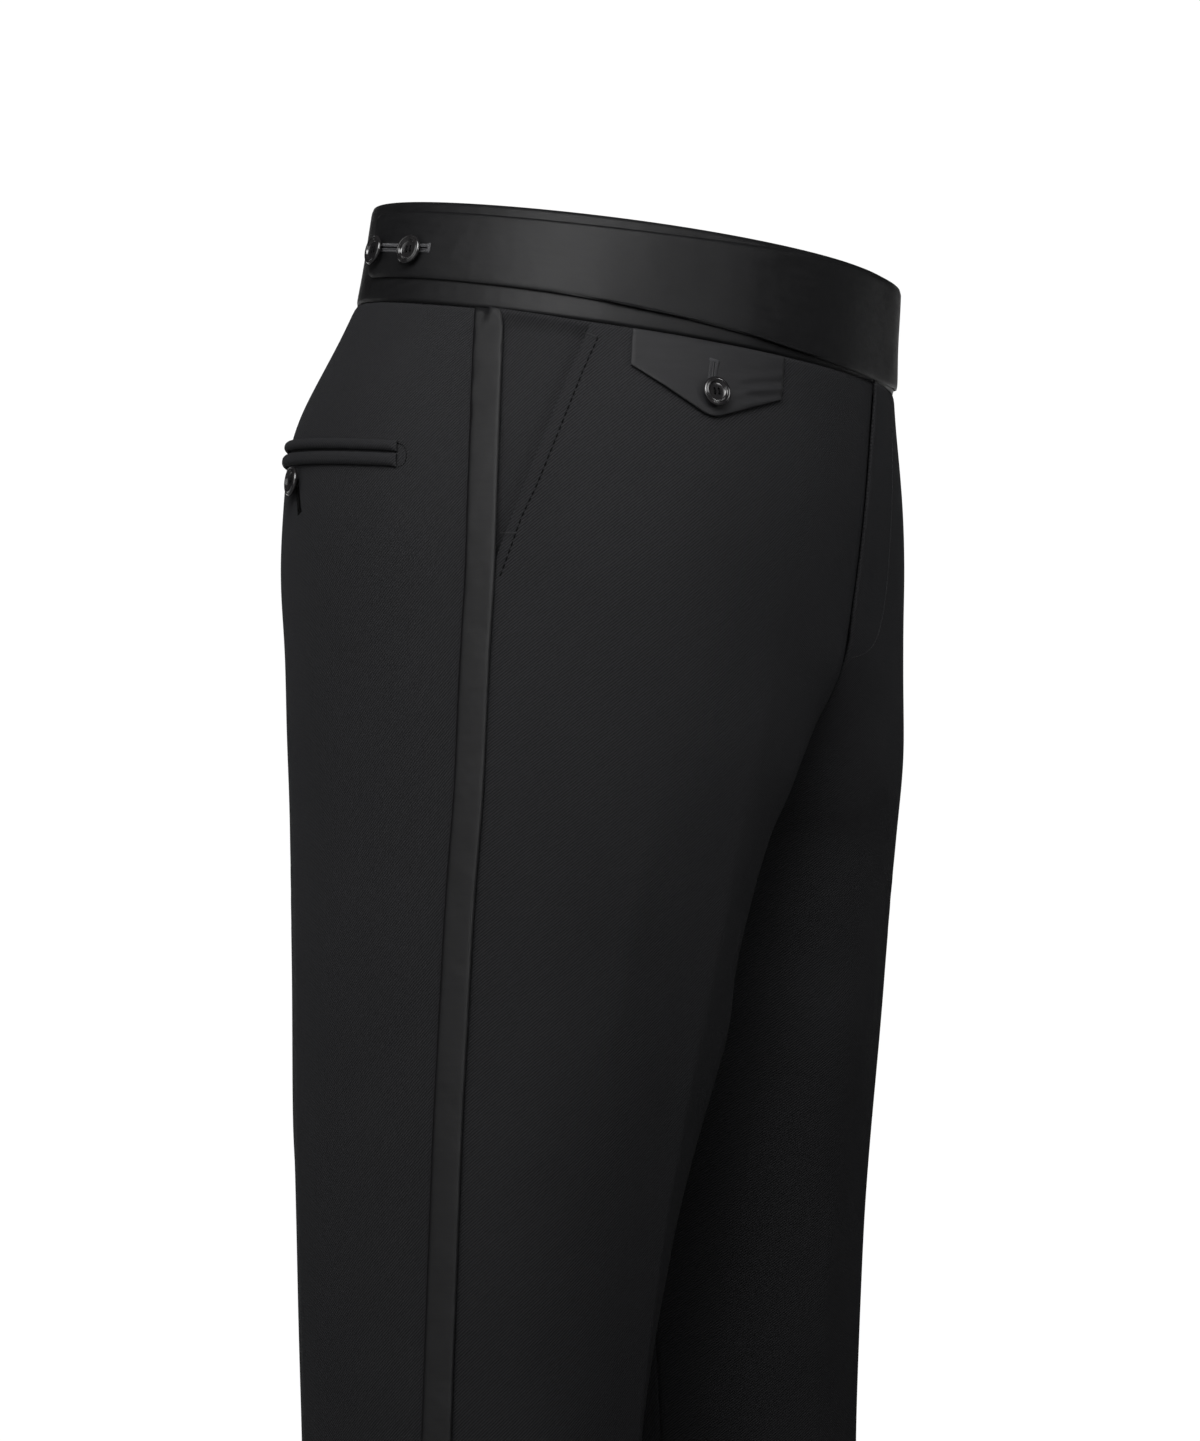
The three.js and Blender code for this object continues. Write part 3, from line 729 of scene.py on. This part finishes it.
# Each pair is a radius and a height, in millimetres, from the dish over the rim to the underside.
BUTTON_PROFILE = [
    (3.8, 1.3),
    (4.2, 1.42),
    (4.5, 1.75),
    (4.75, 2.2),
    (5.05, 2.45),
    (5.4, 2.42),
    (5.65, 2.22),
    (5.9, 2.2),
    (6.2, 2.36),
    (6.55, 2.28),
    (6.85, 1.95),
    (7.02, 1.5),
    (6.95, 1.05),
    (6.6, 0.6),
    (5.9, 0.3),
    (3.8, 0.2),
]
# How far the underside lies below the top of the button's solid, in millimetres.
UNDERSIDE_DEPTH = 2.6
HOLES = [(1.15, 1.15), (-1.15, 1.15), (-1.15, -1.15), (1.15, -1.15)]
HOLE_RADIUS = 0.62
HOLE_CORNERS = 14
SHANK_RADIUS = 1.65
SHANK_WINDING = 0.16
SHANK_CORNERS = 20
SHANK_STEPS = 12


def button_shape():
    shape = bmesh.new()
    dish, underside = BUTTON_PROFILE[0][1], BUTTON_PROFILE[-1][1]
    rings = [ring(shape, radius, height) for radius, height in BUTTON_PROFILE]
    tops = [ring(shape, HOLE_RADIUS, dish, HOLE_CORNERS, place) for place in HOLES]
    bottoms = [ring(shape, HOLE_RADIUS, underside, HOLE_CORNERS, place) for place in HOLES]
    for first, second in [*zip(rings, rings[1:]), *zip(tops, bottoms)]:
        bridge(shape, first, second)
    fill(shape, [rings[0], *tops])
    fill(shape, [rings[-1], *bottoms])
    bmesh.ops.recalc_face_normals(shape, faces=shape.faces)
    return shape


def add_stitch(shape, start, end, normal, radius, arch=0.35):
    """One short round-ended stitch that rises a little over the cloth between its two ends."""
    along = (end - start).normalized()
    across = along.cross(normal).normalized()
    up = across.cross(along)
    loops = []
    for share, size in ((0, 0.4), (0.15, 0.85), (0.5, 1), (0.85, 0.85), (1, 0.4)):
        middle = start.lerp(end, share) + up * radius * (0.2 + arch * math.sin(math.pi * share))
        loop = []
        for turn in (math.pi / 3 * k for k in range(6)):
            aside = math.cos(turn) * across + math.sin(turn) * up
            loop.append(shape.verts.new(middle + radius * size * aside))
        loops.append(loop)
    for first, second in zip(loops, loops[1:]):
        bridge(shape, first, second)
    shape.faces.new(loops[0])
    shape.faces.new(loops[-1])


def thread_shape(gap):
    """The strands over a button's middle, and the wound shank that fills the gap below it."""
    shape = bmesh.new()
    up = Vector((0, 0, 1))
    over = BUTTON_PROFILE[0][1] + 0.1
    for first, second in ((0, 3), (1, 2)):
        for shift in (-0.26, 0.02, 0.28):
            start, end = (
                Vector((HOLES[k][0] + shift, HOLES[k][1], over - 0.35)) for k in (first, second)
            )
            add_stitch(shape, start, end, up, radius=0.2, arch=2.4)
    loops = []
    for step in range(SHANK_STEPS + 1):
        radius = SHANK_RADIUS + (SHANK_WINDING if step % 2 else 0)
        height = -gap - 0.4 + (gap + 0.7) * step / SHANK_STEPS
        loops.append(ring(shape, radius, height, SHANK_CORNERS))
    for first, second in zip(loops, loops[1:]):
        bridge(shape, first, second)
    shape.faces.new(loops[0])
    shape.faces.new(loops[-1])
    bmesh.ops.recalc_face_normals(shape, faces=shape.faces)
    return shape


horn = glossy_horn()
# Black thread, darker than the wool: partly the thread's own black, partly painted shade, so the
# stitches sunk into the cloth read as dark lines.
black_thread_painted_shade = silk_thread(
    "black_thread_painted_shade", (0.0004, 0.0004, 0.0005), (0.003, 0.003, 0.0032), roughness=0.6, shine=0.06
)
# Thread for the satin's buttonholes: black silk, with a base colour lighter than the satin's that
# is painted sheen, on top of its real shine.
satin_thread_painted_sheen = silk_thread(
    "silk_thread", (0.012, 0.012, 0.013), (0.05, 0.05, 0.054), roughness=0.45, shine=0.35
)
# Thread for the pocket tacks and the fly: black stitching given a lighter colour than the wool, a
# painted highlight along the raised stitches.
thread_painted_highlight = silk_thread(
    "thread_painted_highlight", (0.008, 0.008, 0.0085), (0.032, 0.032, 0.034), roughness=0.6, shine=0.12
)
for node in [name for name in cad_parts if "_button" in name]:
    points = np.array([v.co[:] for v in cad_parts[node].data.vertices])
    centre = points.mean(axis=0)
    outward = np.linalg.svd(points - centre, full_matrices=False)[2][2]
    if outward[:2] @ (centre - np.array(WAIST_MIDDLE))[:2] < 0:
        outward = -outward
    heights = (points - centre) @ outward
    depth = heights.max() - heights.min()
    plate_bottom = centre + outward * (heights.max() - UNDERSIDE_DEPTH / 1000)
    face_out = Vector(outward)
    level = Vector((0, 0, 1)).cross(face_out).normalized()
    upright = face_out.cross(level)
    turn = Matrix((level, upright, face_out)).transposed().to_4x4()
    placed = Matrix.Translation(Vector(plate_bottom)) @ turn @ Matrix.Scale(0.001, 4)
    for name, shape, material in (
        (node, button_shape(), horn),
        (node + "_thread", thread_shape(depth * 1000 - UNDERSIDE_DEPTH), black_thread_painted_shade),
    ):
        bmesh.ops.transform(shape, matrix=placed, verts=shape.verts)
        piece = new_piece("sewn_" + name, shape, material)
        piece.data.set_sharp_from_angle(angle=math.radians(38))
        if name == node:
            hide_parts(node)


# The stitching: topstitches beside the slanted pockets, the curved line that holds the fly, bar
# tacks at the pockets' ends, the lines that close the hip pockets' corners, and the buttonholes.
# Each line is laid where the camera sees it on the cloth, and again on the wearer's left.
picture_right = (-toward_camera).cross(Vector((0, 0, 1))).normalized()
picture_up = picture_right.cross(-toward_camera)


def seen(below, across, down):
    """The place on the cloth at this point of the camera's picture, and the way it faces."""
    aside = picture_right * (across - PICTURE_WIDTH / 2) + picture_up * (PICTURE_HEIGHT / 2 - down)
    ray = (aside / FOCAL_LENGTH - toward_camera).normalized()
    place, normal, _, _ = below.ray_cast(camera.location, ray)
    return place, normal


def trace(below, corners):
    """The line on the cloth that joins these points of the camera's picture."""
    line = []
    for (a, b), (c, d) in zip(corners, corners[1:]):
        steps = max(1, round(math.hypot(c - a, d - b)))
        for k in range(steps):
            line.append(seen(below, a + (c - a) * k / steps, b + (d - b) * k / steps))
    return [*line, seen(below, *corners[-1])]


def rounded(corners):
    """The same line with its corners cut three times."""
    for _ in range(3):
        cut = [corners[0]]
        for (a, b), (c, d) in zip(corners, corners[1:]):
            cut.append((0.75 * a + 0.25 * c, 0.75 * b + 0.25 * d))
            cut.append((0.25 * a + 0.75 * c, 0.25 * b + 0.75 * d))
        corners = [*cut, corners[-1]]
    return corners


def side_seam(node):
    return np.array(sorted((v.co.z, v.co.y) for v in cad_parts[node].data.vertices)).T


SEAM_RIGHT = side_seam("side_stripe_right")
SEAM_LEFT = side_seam("side_stripe_left")


def mirrored(line, below):
    """The same line on the wearer's left, where the leg stands a little farther forward."""
    there = []
    for place, _ in line:
        stride = np.interp(place.z, *SEAM_RIGHT) - np.interp(place.z, *SEAM_LEFT)
        spot, normal, _, _ = below.find_nearest(Vector((-place.x, place.y - stride, place.z)))
        there.append((spot, normal))
    return there


def measured(line):
    """The line's length, and a function for the place and facing at a distance along it."""
    lengths = [0]
    for (a, _), (b, _) in zip(line, line[1:]):
        lengths.append(lengths[-1] + (b - a).length)

    def spot(distance):
        k = min(len(line) - 2, max(0, int(np.searchsorted(lengths, distance)) - 1))
        share = (distance - lengths[k]) / max(1e-9, lengths[k + 1] - lengths[k])
        place = line[k][0].lerp(line[k + 1][0], share)
        return place, line[k][1].lerp(line[k + 1][1], share).normalized()

    return lengths[-1], spot


def sew_line(shape, line, pitch, length, radius):
    """Running stitches along a line."""
    total, spot = measured(line)
    for i in range(int(total / pitch)):
        start, normal = spot(i * pitch)
        add_stitch(shape, start, spot(i * pitch + length)[0], normal, radius)


def square_to(spot, distance):
    """The place and facing at a distance along a line, and the direction square to it."""
    place, normal = spot(distance)
    along = (spot(distance + 0.0004)[0] - place).normalized()
    return place, normal, along.cross(normal)


def sew_across(shape, line, pitch, reaches, radius):
    """Close stitches square to a line, each from one reach to the other beside it."""
    total, spot = measured(line)
    for i in range(int(total / pitch) + 1):
        place, normal, across = square_to(spot, i * pitch)
        add_stitch(shape, place + across * reaches[0], place + across * reaches[1], normal, radius)


def sew_buttonhole(shape, line, reach):
    """A slit edged on both sides with close stitches and a corded ridge, with a bar at its end."""
    total, spot = measured(line)
    for side in (-1, 1):
        reaches = (side * 0.0004, side * reach)
        sew_across(shape, line, pitch=0.00056, reaches=reaches, radius=0.00026)
        ridge = []
        for i in range(int(total / 0.0003)):
            place, normal, across = square_to(spot, i * 0.0003)
            ridge.append((place + across * side * 0.0006 + normal * 0.00025, normal))
        sew_line(shape, ridge, pitch=0.0006, length=0.0007, radius=0.0003)
    for step in range(4):
        place, normal = spot(total + 0.0001 + 0.00036 * step)
        across = (spot(total)[0] - spot(total - 0.001)[0]).normalized().cross(normal)
        bar = across * reach * 1.15
        add_stitch(shape, place - bar, place + bar, normal, radius=0.00028)


def sewn_piece(name, shape, material):
    bmesh.ops.recalc_face_normals(shape, faces=shape.faces)
    new_piece("sewn_" + name, shape, material)


PANEL_GROUND = {
    "right": ground(panels["front_right"], panels["back_right"], panels["hip_piece_right"]),
    "left": ground(panels["front_left"], panels["back_left"], panels["hip_piece_left"]),
}
pocket_corners = [(598, 337), (584, 368), (561, 425), (538, 482), (521, 518), (514, 538)]
pocket_line = trace(PANEL_GROUND["right"], [*pocket_corners, (502, 571), (497, 583)])
pocket_tacks = [
    trace(PANEL_GROUND["right"], [(584, 332.5), (596, 336.8)]),
    trace(PANEL_GROUND["right"], [(501, 533.3), (517, 532.8)]),
]
corner_bar = trace(PANEL_GROUND["right"], [(396.8, 441), (394, 469)])
corner_curve = trace(
    PANEL_GROUND["right"],
    rounded([(397, 443), (404, 445), (406.5, 452), (406.5, 460), (402.5, 466), (394.5, 468)]),
)
hip_hole = trace(PANEL_GROUND["right"], [(297.5, 487), (299.5, 511)])


def on_side(line, side):
    """A line traced on the wearer's right, as it lies on the given side."""
    return line if side == "right" else mirrored(line, PANEL_GROUND[side])


for side in PANEL_GROUND:
    topstitch = bmesh.new()
    sew_line(topstitch, on_side(pocket_line, side), pitch=0.0036, length=0.0023, radius=0.0004)
    sewn_piece("pocket_topstitch_" + side, topstitch, black_thread_painted_shade)
    tacks = bmesh.new()
    for line in pocket_tacks:
        reaches = (-0.0005, 0.0005)
        sew_across(tacks, on_side(line, side), pitch=0.00042, reaches=reaches, radius=0.00022)
    sewn_piece("pocket_tacks_" + side, tacks, thread_painted_highlight)
    corner = bmesh.new()
    sew_line(corner, on_side(corner_bar, side), pitch=0.0012, length=0.0013, radius=0.0003)
    sew_line(corner, on_side(corner_curve, side), pitch=0.0016, length=0.0013, radius=0.00022)
    sewn_piece("hip_pocket_corner_" + side, corner, black_thread_painted_shade)
    hole = bmesh.new()
    sew_buttonhole(hole, on_side(hip_hole, side), reach=0.0021)
    sewn_piece("hip_buttonhole_" + side, hole, black_thread_painted_shade)

flap_hole = bmesh.new()
sew_buttonhole(flap_hole, trace(ground(flap), [(711.5, 388), (714.5, 362)]), reach=0.0025)
sewn_piece("flap_buttonhole", flap_hole, satin_thread_painted_sheen)
wrap_ground = ground(wrap)
for name, ends in {"front": [(411, 248), (428, 248)], "back": [(382, 247.5), (399, 248)]}.items():
    line = trace(wrap_ground, ends)
    for side, laid in {"right": line, "left": mirrored(line, wrap_ground)}.items():
        hole = bmesh.new()
        sew_buttonhole(hole, laid, reach=0.0022)
        sewn_piece(f"wrap_buttonhole_{name}_{side}", hole, satin_thread_painted_sheen)

# The fly's line seen from the front: across and height, in millimetres.
FLY_CORNERS = [(37, -71), (37, -146), (36, -162), (32, -177), (23, -190), (11, -197), (2, -199)]
fly_curve = rounded(FLY_CORNERS)
fly_line = []
for (a, b), (c, d) in zip(fly_curve, fly_curve[1:]):
    for k in range(6):
        ahead = Vector((a + (c - a) * k / 6, -400, b + (d - b) * k / 6)) / 1000
        place, normal, _, _ = PANEL_GROUND["left"].ray_cast(ahead, Vector((0, 1, 0)))
        fly_line.append((place, normal))
fly = bmesh.new()
sew_line(fly, fly_line, pitch=0.0026, length=0.0021, radius=0.00024)
sewn_piece("fly_stitch", fly, thread_painted_highlight)
